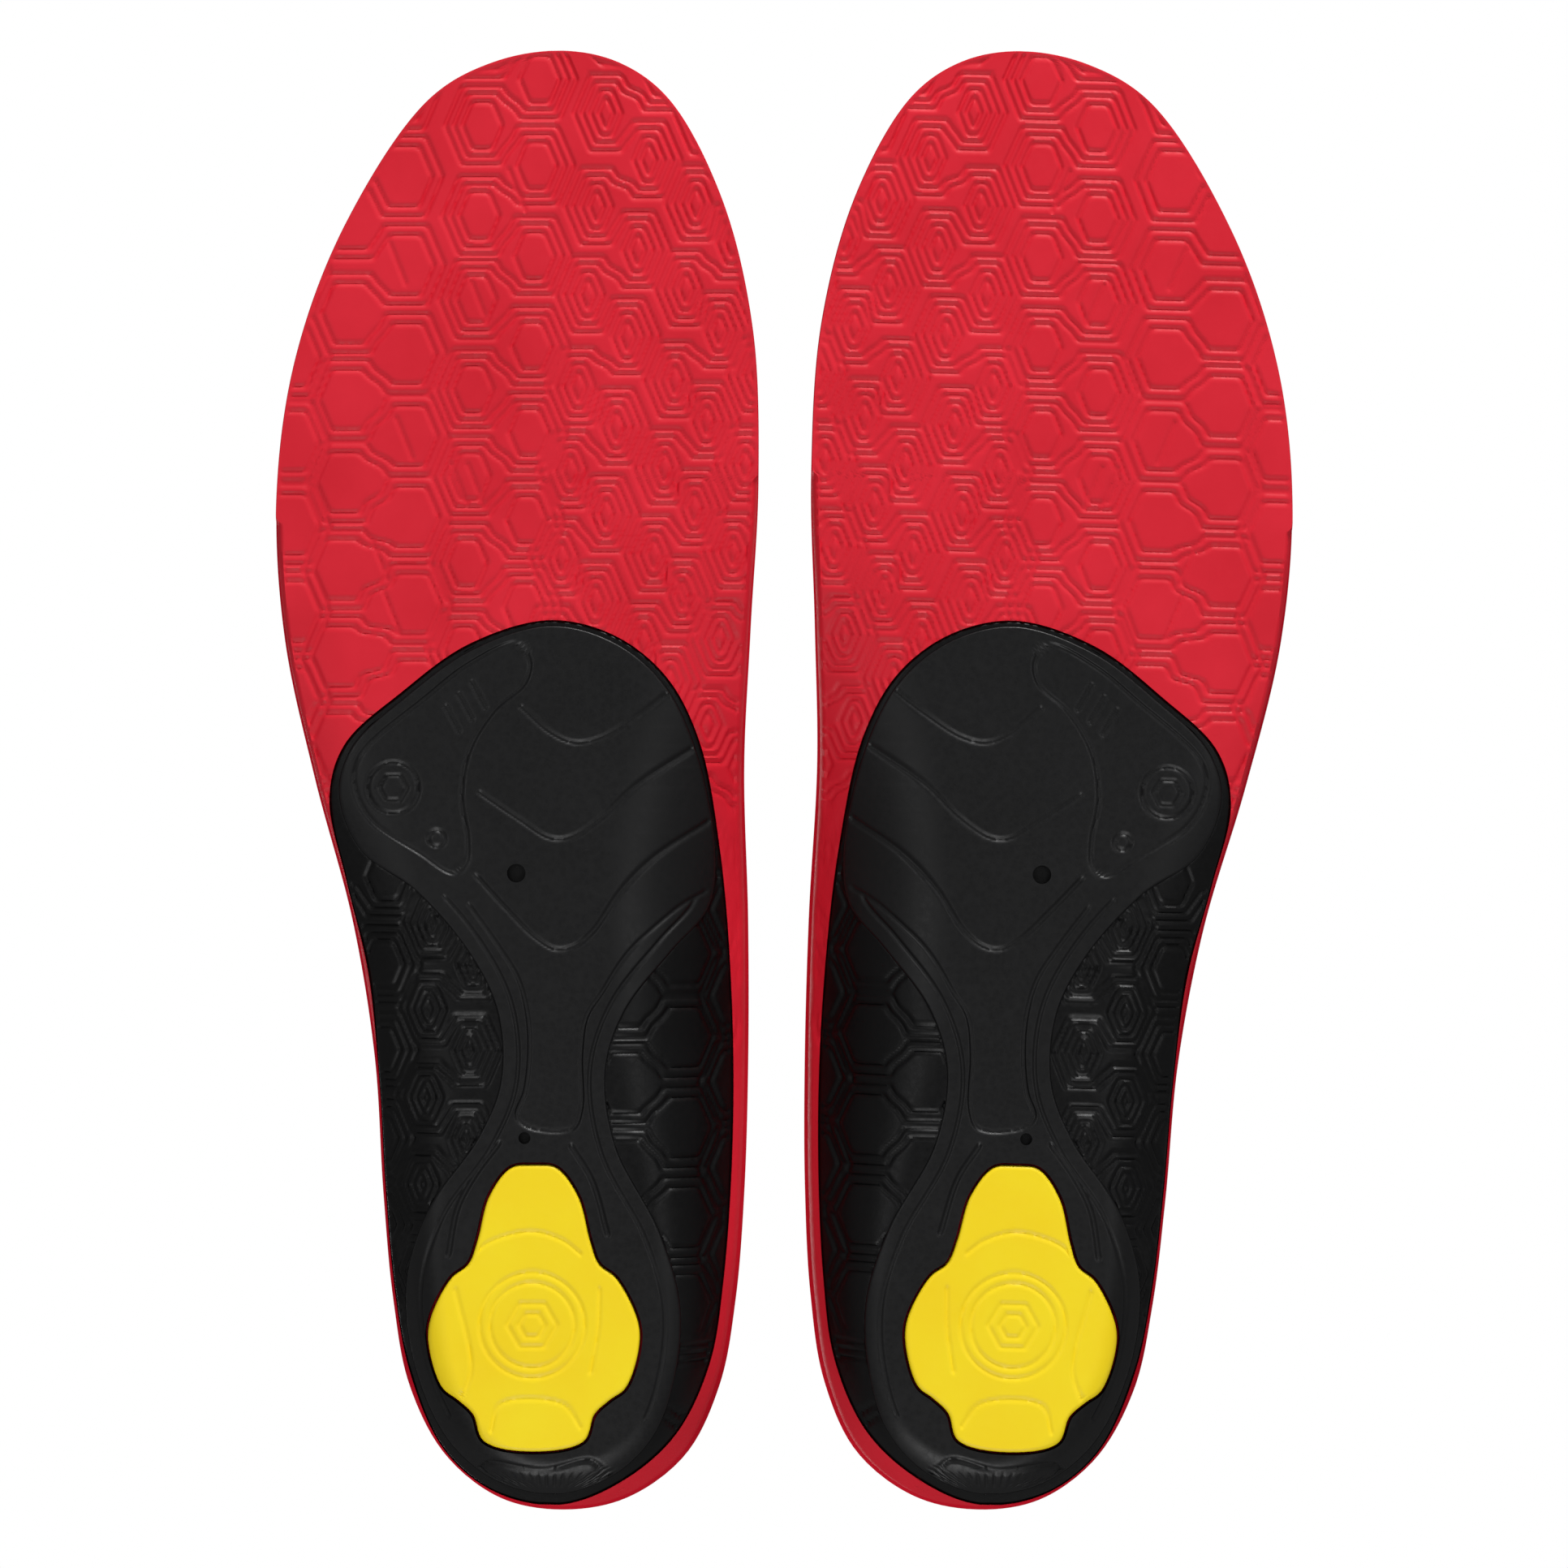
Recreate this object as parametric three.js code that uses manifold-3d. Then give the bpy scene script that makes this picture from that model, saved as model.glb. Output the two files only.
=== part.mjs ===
// A pair of cushioned insoles, in millimetres, +Z up, toes towards +Y, lying on their undersides.
// Each insole is a stack of sheets and mouldings that all follow one cupped surface: a flat middle
// with a wall that rises round the heel, high under the arch and low along the outer side.
// Every layer shares the same grid of points, so neighbouring layers stay a constant height apart.

import * as THREE from 'three';
import { mergeVertices } from 'three/addons/utils/BufferGeometryUtils.js';
import Module from 'manifold-3d';

// ---- Overall sizes -------------------------------------------------------------------------

const insoleLength = 270; // heel end to toe tip
const forefootWidth = 89; // widest place, across the ball of the foot
const pairGap = 8.4; // between the boxes of the two insoles
const toeOut = THREE.MathUtils.degToRad(1.65); // how far the left insole is turned outwards

// ---- The layers, from the ground up ---------------------------------------------------------

const bondGap = 0.3; // space left for the glue between two layers
const plateThickness = 1.2;
const plateStep = 0.4; // the plate stands this much proud of the cradle's flanks
const cradleWeb = 1.5; // cradle left above the plate
const foamThickness = 2.8; // red foam at the forefoot
const foamWeb = 2.6; // red foam left above the cradle
const cushionThickness = 1.7;
const coverThickness = 0.8;
const foamOverPad = 1; // red foam left above the heel pad's pocket
const padClearance = 0.5; // round the heel pad, in its window
const edgeClearance = 0.4; // round the plate and round the cradle, in their recesses
const bigHoleRadius = 1.7; // front hole in the plate
const smallHoleRadius = 1.1; // rear hole in the plate

const cradleTop = plateThickness + bondGap + cradleWeb;
const padThickness = cradleTop + foamWeb - foamOverPad;
const rearRise = cradleTop + bondGap + foamWeb - foamThickness; // the rear is this much thicker
const thickFrom = 64; // the foam starts to thicken here
const thickBy = 34; // and is at full thickness from here back to the heel

// ---- The wall: [place along Y, height of its outer foot, width over which it rises] -----------

const innerWall = [
  [-135, 11, 11],
  [-112, 11.5, 12],
  [-85, 14, 17],
  [-50, 18, 27],
  [-20, 17, 28],
  [8, 9, 24],
  [36, 0, 18],
];
const outerWall = [
  [-135, 11, 11],
  [-112, 10, 10],
  [-85, 9, 11],
  [-50, 7, 18],
  [-20, 5, 15],
  [8, 2, 12],
  [36, 0, 12],
];

// ---- Outlines of the right insole as [x, y], drawn for a 270 mm insole 89 mm wide --------------

const drawnLength = 270;
const drawnWidth = 89;

const innerEdge = [
  [41.3, -135.2], [29.5, -133], [18.6, -125], [12.2, -112], [9.2, -96], [7.6, -76], [6.9, -52],
  [6.9, -26], [7.6, 3], [6.4, 28], [4.9, 56], [6, 84], [11.8, 108], [21.5, 126], [30.5, 132.6],
  [41, 134.8],
];
const outerEdge = [
  [41.3, -135.2], [53, -133], [63.2, -125], [69.9, -112], [72.9, -96], [74.7, -76], [76.2, -51],
  [80.1, -26], [87, 0.7], [92.5, 27], [93.8, 52], [90.3, 78], [81, 103], [65.5, 126],
  [53.5, 132.8], [41, 134.8],
];
const cradleOutline = [
  [43.4, 29.8], [58.2, 25.4], [70.5, 16.6], [81, 7], [83.9, -2.7], [80.9, -18], [76.9, -35],
  [75, -55], [74, -73], [72.4, -92], [69.6, -108], [63.1, -123.4], [54, -131], [41.8, -133.4],
  [30, -128.6], [20.3, -120.1], [14.2, -107.5], [11.6, -92], [9.9, -65], [10.2, -38],
  [12.2, -13], [16, 7.6], [22, 19.4], [31.5, 27],
];
const plateOutline = [
  [43.4, 28.9], [57.7, 24.5], [69.8, 15.9], [79.8, 6.5], [82.2, -2], [78.2, -12.4], [68, -19.8],
  [58.2, -31.2], [53, -42], [52.4, -55], [56.5, -65.2], [65.6, -78.3], [70, -92.5], [68.4, -108],
  [62, -121.8], [53, -129], [41.8, -131.2], [31.4, -127.4], [24.2, -120], [20.3, -109],
  [19.4, -96], [23.2, -82.5], [31.2, -67], [33.1, -53], [29.6, -42], [21, -31], [14.2, -23],
  [13, -12], [16.8, 7], [22.7, 18.6], [32, 26.1],
];
const padHalfOutline = [
  [0, 26.4], [4.2, 25.9], [8.2, 20.6], [10.4, 12.4], [12, 8.2], [15.2, 5.6], [19.2, -2.4],
  [19.3, -7.5], [16.9, -14.6], [14, -16.8], [11.2, -19.4], [9.2, -24.4], [0, -26.3],
];
const padCentre = [46.3, -96.7];
const bigHole = [49.5, -16.6];
const smallHole = [48, -65.3];

// ---- Numbers of the mesh --------------------------------------------------------------------

const stations = 22; // from the heel end to the toe tip
const endCrowding = 0.08; // draws the stations closer together at the round ends
const rowSteps = [0, 0.42, 0.68, 0.84, 0.93, 1]; // from the middle out to the edge
const edgeSamples = 120;
const cradleCorners = 48;
const plateCorners = 62;
const padCorners = 48;
const heelFan = -102; // the middle line runs between these two points, and the rows fan
const toeFan = 96; // out from its ends
const above = 60; // cutting prisms run from well below the part to well above it
const below = -30;

const wasm = await Module();
wasm.setup();

// ---- Plan shapes ----------------------------------------------------------------------------

const scaleX = forefootWidth / drawnWidth;
const scaleY = insoleLength / drawnLength;

function place([x, y]) {
  return new THREE.Vector2(x * scaleX, y * scaleY);
}

function edgeCurve(points) {
  return new THREE.CatmullRomCurve3(points.map((p) => new THREE.Vector3(...place(p), 0)), false);
}

function closedOutline(points, samples) {
  const corners = points.map((p) => new THREE.Vector3(p.x, p.y, 0));
  const curve = new THREE.CatmullRomCurve3(corners, true);
  return curve.getPoints(samples).slice(0, -1).map((p) => new THREE.Vector2(p.x, p.y));
}

function mirroredPad() {
  const right = padHalfOutline.map(([x, y]) => new THREE.Vector2(x, y));
  const left = padHalfOutline.slice(1, -1).reverse().map(([x, y]) => new THREE.Vector2(-x, y));
  const middle = place(padCentre);
  return [...right, ...left].map((p) => p.add(middle));
}

// A closed loop moved outwards by a distance, or inwards when the distance is negative.
function grown(loop, distance) {
  const turn = THREE.ShapeUtils.isClockWise(loop) ? -1 : 1;
  return loop.map((point, i) => {
    const before = loop[(i + loop.length - 1) % loop.length];
    const after = loop[(i + 1) % loop.length];
    const along = after.clone().sub(before).normalize();
    return new THREE.Vector2(along.y, -along.x).multiplyScalar(turn * distance).add(point);
  });
}

function circle([x, y], radius, sides = 16) {
  const middle = place([x, y]);
  return Array.from({ length: sides }, (_, i) => {
    const angle = (2 * Math.PI * i) / sides;
    return new THREE.Vector2(Math.cos(angle), Math.sin(angle)).multiplyScalar(radius).add(middle);
  });
}

// ---- The cupped surface ---------------------------------------------------------------------

const innerCurve = edgeCurve(innerEdge);
const outerCurve = edgeCurve(outerEdge);
const innerSamples = innerCurve.getSpacedPoints(edgeSamples);
const outerSamples = outerCurve.getSpacedPoints(edgeSamples);

function readTable(rows, y, column) {
  const drawnY = y / scaleY;
  if (drawnY <= rows[0][0]) return rows[0][column];
  const next = rows.findIndex((row) => row[0] > drawnY);
  if (next < 0) return rows.at(-1)[column];
  const [a, b] = [rows[next - 1], rows[next]];
  return THREE.MathUtils.lerp(a[column], b[column], (drawnY - a[0]) / (b[0] - a[0]));
}

function nearestOnEdge(x, y, samples) {
  const point = new THREE.Vector3(x, y, 0);
  const segment = new THREE.Line3();
  const found = new THREE.Vector3();
  let best = { distance: Infinity, y: 0 };
  for (let i = 0; i + 1 < samples.length; i += 1) {
    segment.set(samples[i], samples[i + 1]).closestPointToPoint(point, true, found);
    const distance = found.distanceTo(point);
    if (distance < best.distance) best = { distance, y: found.y };
  }
  return best;
}

// How high one wall lifts the surface at a point.
function wallLift(x, y, samples, rows) {
  const near = nearestOnEdge(x, y, samples);
  const height = readTable(rows, near.y, 1);
  const width = readTable(rows, near.y, 2);
  return height * Math.max(0, 1 - near.distance / width) ** 2;
}

function cupHeight(x, y) {
  const inner = wallLift(x, y, innerSamples, innerWall);
  const outer = wallLift(x, y, outerSamples, outerWall);
  return Math.max(inner, outer);
}

// The extra thickness of the foam behind the ball of the foot.
function thickening(y) {
  return rearRise * (1 - THREE.MathUtils.smoothstep(y / scaleY, thickBy, thickFrom));
}

// ---- The shared grid: each row runs from the inner edge over the middle line to the outer edge --

function middleOf(fraction) {
  const y = THREE.MathUtils.lerp(heelFan, toeFan, fraction) * scaleY;
  const inner = innerSamples.reduce((a, b) => (Math.abs(b.y - y) < Math.abs(a.y - y) ? b : a));
  const outer = outerSamples.reduce((a, b) => (Math.abs(b.y - y) < Math.abs(a.y - y) ? b : a));
  return new THREE.Vector3((inner.x + outer.x) / 2, y, 0);
}

const across = [...rowSteps.slice(1).reverse().map((s) => -s), ...rowSteps];

const grid = Array.from({ length: stations + 1 }, (_, i) => {
  const even = i / stations;
  const fraction = even - endCrowding * Math.sin(2 * Math.PI * even);
  const middle = middleOf(fraction);
  const innerPoint = innerCurve.getPointAt(fraction);
  const outerPoint = outerCurve.getPointAt(fraction);
  return across.map((step) => {
    const point = middle.clone().lerp(step < 0 ? innerPoint : outerPoint, Math.abs(step));
    point.z = cupHeight(point.x, point.y);
    return point;
  });
});

// A closed sheet between two heights above the cupped surface. A height is a function of y.
function sheet(lower, upper) {
  const columns = across.length;
  const levels = [upper, lower].map((height) =>
    grid.flat().flatMap((p) => [p.x, p.y, p.z + height(p.y)]),
  );
  const count = grid.length * columns;
  const at = (i, j) => i * columns + j;
  const faces = [];
  for (let i = 0; i < stations; i += 1) {
    for (let j = 0; j + 1 < columns; j += 1) {
      const [a, b, c, d] = [at(i, j), at(i, j + 1), at(i + 1, j + 1), at(i + 1, j)];
      faces.push(a, b, c, a, c, d);
      faces.push(count + a, count + c, count + b, count + a, count + d, count + c);
    }
    for (const [j, flip] of [[0, false], [columns - 1, true]]) {
      const [a, b] = flip ? [at(i + 1, j), at(i, j)] : [at(i, j), at(i + 1, j)];
      faces.push(a, b, count + b, a, count + b, count + a);
    }
  }
  const geometry = new THREE.BufferGeometry();
  const flat = new Float32Array(levels.flat());
  geometry.setAttribute('position', new THREE.BufferAttribute(flat, 3));
  geometry.setIndex(faces);
  return toSolid(geometry);
}

// ---- Solids ---------------------------------------------------------------------------------

function toSolid(geometry) {
  const bare = geometry.clone();
  bare.deleteAttribute('normal');
  bare.deleteAttribute('uv');
  const merged = mergeVertices(bare, 1e-4);
  return new wasm.Manifold(new wasm.Mesh({
    numProp: 3,
    vertProperties: new Float32Array(merged.attributes.position.array),
    triVerts: new Uint32Array(merged.index.array),
  }));
}

function toGeometry(solid) {
  const mesh = solid.getMesh();
  const geometry = new THREE.BufferGeometry();
  geometry.setAttribute('position', new THREE.BufferAttribute(mesh.vertProperties, 3));
  geometry.setIndex(new THREE.BufferAttribute(mesh.triVerts, 1));
  geometry.computeVertexNormals();
  return geometry;
}

function prism(loop) {
  const options = { depth: above - below, bevelEnabled: false };
  const geometry = new THREE.ExtrudeGeometry(new THREE.Shape(loop), options);
  return toSolid(geometry.translate(0, 0, below));
}

const level = (height) => () => height;

const cradleLoop = closedOutline(cradleOutline.map(place), cradleCorners);
const plateLoop = closedOutline(plateOutline.map(place), plateCorners);
const padLoop = closedOutline(mirroredPad(), padCorners);
const windowPrism = prism(grown(padLoop, padClearance));

function foamBase() {
  const recess = sheet(level(below), level(cradleTop + bondGap))
    .intersect(prism(grown(cradleLoop, edgeClearance)));
  const pocket = sheet(level(below), level(padThickness + bondGap)).intersect(windowPrism);
  return sheet(level(0), (y) => foamThickness + thickening(y)).subtract(recess).subtract(pocket);
}

function archCradle() {
  const recess = sheet(level(below), level(plateThickness + bondGap))
    .intersect(prism(grown(plateLoop, edgeClearance)));
  return sheet(level(plateStep), level(cradleTop))
    .intersect(prism(cradleLoop))
    .subtract(recess)
    .subtract(windowPrism);
}

function supportPlate() {
  return sheet(level(0), level(plateThickness))
    .intersect(prism(plateLoop))
    .subtract(windowPrism)
    .subtract(prism(circle(bigHole, bigHoleRadius)))
    .subtract(prism(circle(smallHole, smallHoleRadius)));
}

function heelPad() {
  return sheet(level(0), level(padThickness)).intersect(prism(padLoop));
}

function cushionLayer() {
  const under = (y) => foamThickness + thickening(y) + bondGap;
  return sheet(under, (y) => under(y) + cushionThickness);
}

function topCover() {
  const under = (y) => foamThickness + thickening(y) + cushionThickness + 2 * bondGap;
  return sheet(under, (y) => under(y) + coverThickness);
}

// ---- Finishes -------------------------------------------------------------------------------

const finishes = {
  top_cover: { make: topCover, color: 0x2b2d31, roughness: 0.95 },
  cushion_layer: { make: cushionLayer, color: 0xd8d6cf, roughness: 0.9 },
  foam_base: { make: foamBase, color: 0xd3283a, roughness: 0.6 },
  arch_cradle: { make: archCradle, color: 0x18181a, roughness: 0.5 },
  support_plate: { make: supportPlate, color: 0x202022, roughness: 0.42 },
  heel_pad: { make: heelPad, color: 0xfadd16, roughness: 0.45 },
};

// ---- The pair -------------------------------------------------------------------------------

const pieces = Object.entries(finishes).map(([name, { make, color, roughness }]) => {
  return { name, geometry: toGeometry(make()), color, roughness };
});

function insole(side) {
  const foot = new THREE.Group();
  for (const { name, geometry, color, roughness } of pieces) {
    const material = new THREE.MeshStandardMaterial({ color, roughness, metalness: 0 });
    const mesh = new THREE.Mesh(geometry, material);
    mesh.name = `${side}_${name}`;
    foot.add(mesh);
  }
  return foot;
}

const right = insole('right');
const left = insole('left');
left.scale.x = -1;
left.rotation.z = toeOut;

const group = new THREE.Group();
group.add(right, left);

// The heels line up, the gap is measured between the two boxes, and the origin is the middle of
// the pair's own box, on the ground.
const boxOf = (object) => new THREE.Box3().setFromObject(object, true);
const [rightBox, leftBox] = [boxOf(right), boxOf(left)];
left.position.x = rightBox.min.x - pairGap - leftBox.max.x;
left.position.y = rightBox.min.y - leftBox.min.y;
group.updateMatrixWorld(true);
const centre = boxOf(group).getCenter(new THREE.Vector3()).setZ(0);
right.position.sub(centre);
left.position.sub(centre);

export default group;
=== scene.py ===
"""A pair of cushioned insoles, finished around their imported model.

Every piece is drawn once, for the right foot, in millimetres in the insole's own frame: x runs
from the inner edge outwards, y from the heel to the toes, z up from the ground. It is then put
in its place twice, as it stands for the right foot and mirrored for the left one.
"""

import math

import bmesh
import bpy
import numpy as np
from mathutils import Matrix, Vector


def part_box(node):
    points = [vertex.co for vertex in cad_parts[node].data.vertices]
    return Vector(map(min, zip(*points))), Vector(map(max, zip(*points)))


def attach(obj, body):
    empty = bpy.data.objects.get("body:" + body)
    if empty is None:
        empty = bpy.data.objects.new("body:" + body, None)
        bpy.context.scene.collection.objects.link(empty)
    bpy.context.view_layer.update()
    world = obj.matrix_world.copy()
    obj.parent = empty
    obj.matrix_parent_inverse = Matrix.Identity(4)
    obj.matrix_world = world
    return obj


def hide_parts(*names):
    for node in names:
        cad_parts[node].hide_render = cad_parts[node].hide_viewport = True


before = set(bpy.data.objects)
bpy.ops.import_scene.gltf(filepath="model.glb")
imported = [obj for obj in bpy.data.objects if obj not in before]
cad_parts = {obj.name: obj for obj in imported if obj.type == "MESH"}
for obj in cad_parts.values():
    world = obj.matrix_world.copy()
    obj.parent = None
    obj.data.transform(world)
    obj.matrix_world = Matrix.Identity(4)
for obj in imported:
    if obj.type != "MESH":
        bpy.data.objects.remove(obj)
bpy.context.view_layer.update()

MM = 0.001
TOE_OUT = math.radians(1.65)  # the left insole is turned outwards by this much

# ---- Layers, in millimetres above the cupped ground surface ----------------------------------

GAP = 0.3
PLATE_TOP = 1.2
CRADLE_UNDER = 0.35  # the cradle's flanks lie this much above the plate's face
CRADLE_TOP = 3.0
FOAM_TOP = 2.8  # at the forefoot
REAR_RISE = 3.1  # the foam is this much thicker at the rear
PAD_TOP = 4.6
CUSHION = 1.7
COVER = 0.8
THICK_BY, THICK_FROM = 34, 64  # the foam thickens between these places

# ---- The wall: place along y, height of its foot, width over which it rises --------------------

INNER_WALL = [(-135, 11, 11), (-112, 11.5, 12), (-85, 14, 17), (-50, 18, 27), (-20, 17, 28),
              (8, 9, 24), (36, 0, 18)]
OUTER_WALL = [(-135, 11, 11), (-112, 10, 10), (-85, 9, 11), (-50, 7, 18), (-20, 5, 15),
              (8, 2, 12), (36, 0, 12)]

# ---- Plan outlines of the right insole, each edge from the heel end to the toe end --------------

SOLE_INNER = [(41.3, -135.2), (29.5, -133), (18.6, -125), (12.2, -112), (9.2, -96), (7.6, -76),
              (6.9, -52), (6.9, -26), (7.6, 3), (6.4, 28), (4.9, 56), (6, 84), (11.8, 108),
              (21.5, 126), (30.5, 132.6), (41, 134.8)]
SOLE_OUTER = [(41.3, -135.2), (53, -133), (63.2, -125), (69.9, -112), (72.9, -96), (74.7, -76),
              (76.2, -51), (80.1, -26), (87, 0.7), (92.5, 27), (93.8, 52), (90.3, 78), (81, 103),
              (65.5, 126), (53.5, 132.8), (41, 134.8)]
CRADLE_INNER = [(41.8, -133.4), (30, -128.6), (20.3, -120.1), (14.2, -107.5), (11.6, -92),
                (9.9, -65), (10.2, -38), (12.2, -13), (16, 7.6), (22, 19.4), (31.5, 27),
                (43.4, 29.8)]
CRADLE_OUTER = [(41.8, -133.4), (54, -131), (63.1, -123.4), (69.6, -108), (72.4, -92),
                (74, -73), (75, -55), (76.9, -35), (80.9, -18), (83.9, -2.7), (81, 7),
                (70.5, 16.6), (58.2, 25.4), (43.4, 29.8)]
PLATE_INNER = [(41.8, -131.2), (31.4, -127.4), (24.2, -120), (20.3, -109), (19.4, -96),
               (23.2, -82.5), (31.2, -67), (33.1, -53), (29.6, -42), (21, -31), (14.2, -23),
               (13, -12), (16.8, 7), (22.7, 18.6), (32, 26.1), (43.4, 28.9)]
PLATE_OUTER = [(41.8, -131.2), (53, -129), (62, -121.8), (68.4, -108), (70, -92.5),
               (65.6, -78.3), (56.5, -65.2), (52.4, -55), (53, -42), (58.2, -31.2),
               (68, -19.8), (78.2, -12.4), (82.2, -2), (79.8, 6.5), (69.8, 15.9), (57.7, 24.5),
               (43.4, 28.9)]
PAD_HALF = [(0, 26.4), (4.2, 25.9), (8.2, 20.6), (10.4, 12.4), (12, 8.2), (15.2, 5.6),
            (19.2, -2.4), (19.3, -7.5), (16.9, -14.6), (14, -16.8), (11.2, -19.4),
            (9.2, -24.4), (0, -26.3)]
PAD_CENTRE = (46.3, -96.7)
PAD_CLEARANCE = 0.5
HOLES = [((49.5, -16.6), 1.7), ((48, -65.3), 1.1)]


# ---- Curves and the cupped surface -------------------------------------------------------------

def catmull(points, closed=False, steps=30):
    """A centripetal Catmull-Rom curve through the points, as a dense line."""
    p = np.array(points, float)
    if closed:
        p = np.vstack([p[-1:], p, p[:2]])
    else:
        p = np.vstack([2 * p[0] - p[1], p, 2 * p[-1] - p[-2]])
    t = np.linspace(0, 1, steps, endpoint=False)[:, None]
    parts = []
    for a, b, c, d in zip(p, p[1:], p[2:], p[3:]):
        ab, bc, cd = (max(np.linalg.norm(q), 1e-9) ** 0.5 for q in (b - a, c - b, d - c))
        out = ((b - a) / ab - (c - a) / (ab + bc) + (c - b) / bc) * bc
        into = ((c - b) / bc - (d - b) / (bc + cd) + (d - c) / cd) * bc
        parts.append(b * (2 * t**3 - 3 * t**2 + 1) + out * (t**3 - 2 * t**2 + t)
                     + c * (3 * t**2 - 2 * t**3) + into * (t**3 - t**2))
    return np.vstack(parts if closed else parts + [p[-2:-1]])


class Outline:
    """A piece's two edges in plan, with the inward direction at each point."""

    def __init__(self, inner, outer, steps=30):
        loop = catmull(list(inner) + list(outer[-2:0:-1]), True, steps)
        toe = (len(inner) - 1) * steps
        self.inner = loop[:toe + 1]
        self.outer = np.vstack([loop[:1], loop[toe:][::-1]])
        along = np.roll(loop, -1, 0) - np.roll(loop, 1, 0)
        along /= np.linalg.norm(along, axis=1)[:, None]
        inward = np.stack([along[:, 1], -along[:, 0]], 1)
        self.inner_in = inward[:toe + 1]
        self.outer_in = np.vstack([inward[:1], inward[toe:][::-1]])
        self.loop = loop
        self.low, self.high = self.inner[0, 1], self.inner[-1, 1]

    def edge(self, side, ys, inset):
        """Points on one edge at the given places along y, moved inwards by inset."""
        line = self.inner if side == 0 else self.outer
        inward = self.inner_in if side == 0 else self.outer_in
        at = np.interp(ys, np.maximum.accumulate(line[:, 1]), np.arange(len(line)))
        at = np.where(ys <= self.low, 0, np.where(ys >= self.high, len(line) - 1, at))
        pick = [np.interp(at, np.arange(len(line)), v) for v in (*line.T, *inward.T)]
        return np.stack([pick[0] + inset * pick[2], pick[1] + inset * pick[3]], 1)


def nearest(line, x, y):
    """Distance from each point to a line of points, and the place along y where it is nearest."""
    a, d = line[:-1], np.diff(line, axis=0)
    far, at = np.empty(x.size), np.empty(x.size)
    for start in range(0, x.size, 4000):
        part = slice(start, start + 4000)
        px, py = x.ravel()[part, None], y.ravel()[part, None]
        t = ((px - a[:, 0]) * d[:, 0] + (py - a[:, 1]) * d[:, 1]) / (d * d).sum(1)
        t = np.clip(t, 0, 1)
        gap = np.hypot(px - a[:, 0] - t * d[:, 0], py - a[:, 1] - t * d[:, 1])
        best = gap.argmin(1)
        rows = np.arange(len(best))
        far[part] = gap[rows, best]
        at[part] = (a[:, 1] + t * d[:, 1])[rows, best]
    return far.reshape(x.shape), at.reshape(x.shape)


def depth_inside(outline, x, y):
    """How far each point is inside an outline; below zero outside it."""
    far, _ = nearest(outline.loop[::3], x, y)
    low = np.interp(y, np.maximum.accumulate(outline.inner[:, 1]), outline.inner[:, 0])
    high = np.interp(y, np.maximum.accumulate(outline.outer[:, 1]), outline.outer[:, 0])
    inside = (x > low) & (x < high) & (y > outline.low) & (y < outline.high)
    return np.where(inside, far, -far)


def softened(rows, column, reach=9):
    """A table's column as a function of y, without the corners at its rows."""
    places = np.arange(-170.0, 170.0)
    values = np.interp(places, [r[0] for r in rows], [r[column] for r in rows])
    kernel = np.hanning(2 * reach + 1)
    padded = np.pad(values, reach, mode="edge")
    smooth = np.convolve(padded, kernel / kernel.sum(), mode="valid")
    return lambda y: np.interp(y, places, smooth)


SOLE = Outline(SOLE_INNER, SOLE_OUTER)
CRADLE = Outline(CRADLE_INNER, CRADLE_OUTER)
PLATE = Outline(PLATE_INNER, PLATE_OUTER)
PAD = Outline([(PAD_CENTRE[0] - x, PAD_CENTRE[1] + y) for x, y in PAD_HALF[::-1]],
              [(PAD_CENTRE[0] + x, PAD_CENTRE[1] + y) for x, y in PAD_HALF[::-1]])
WALLS = [(SOLE.inner[::4], softened(INNER_WALL, 1), softened(INNER_WALL, 2)),
         (SOLE.outer[::4], softened(OUTER_WALL, 1), softened(OUTER_WALL, 2))]
PAD_POINTS = PAD_HALF + [(-x, y) for x, y in PAD_HALF[-2:0:-1]]
PAD_LOOP = catmull(PAD_POINTS, closed=True, steps=8) + PAD_CENTRE


def cup(x, y):
    """Height of the cupped ground surface that every layer follows."""
    lift = np.zeros(x.shape)
    for line, height, width in WALLS:
        far, at = nearest(line, x, y)
        lift = np.maximum(lift, height(at) * np.clip(1 - far / width(at), 0, None) ** 2)
    return lift


def thickening(y):
    t = np.clip((y - THICK_BY) / (THICK_FROM - THICK_BY), 0, 1)
    return REAR_RISE * (1 - t * t * (3 - 2 * t))


# ---- Meshes ------------------------------------------------------------------------------------

def levels(outline, spans, end=5.0, end_rows=14):
    """Places along y for a piece's rows: close together at the round ends, then by span."""
    turn = end * (1 - np.cos(np.linspace(0, math.pi / 2, end_rows)))
    ys = [outline.low + turn]
    for low, high, step in spans:
        low, high = max(low, outline.low + end), min(high, outline.high - end)
        if high > low:
            ys.append(np.arange(low, high, step))
    ys.append(outline.high - turn[::-1])
    ys = np.concatenate(ys)
    return ys[np.concatenate([[True], np.diff(ys) > 0.01])]


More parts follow.
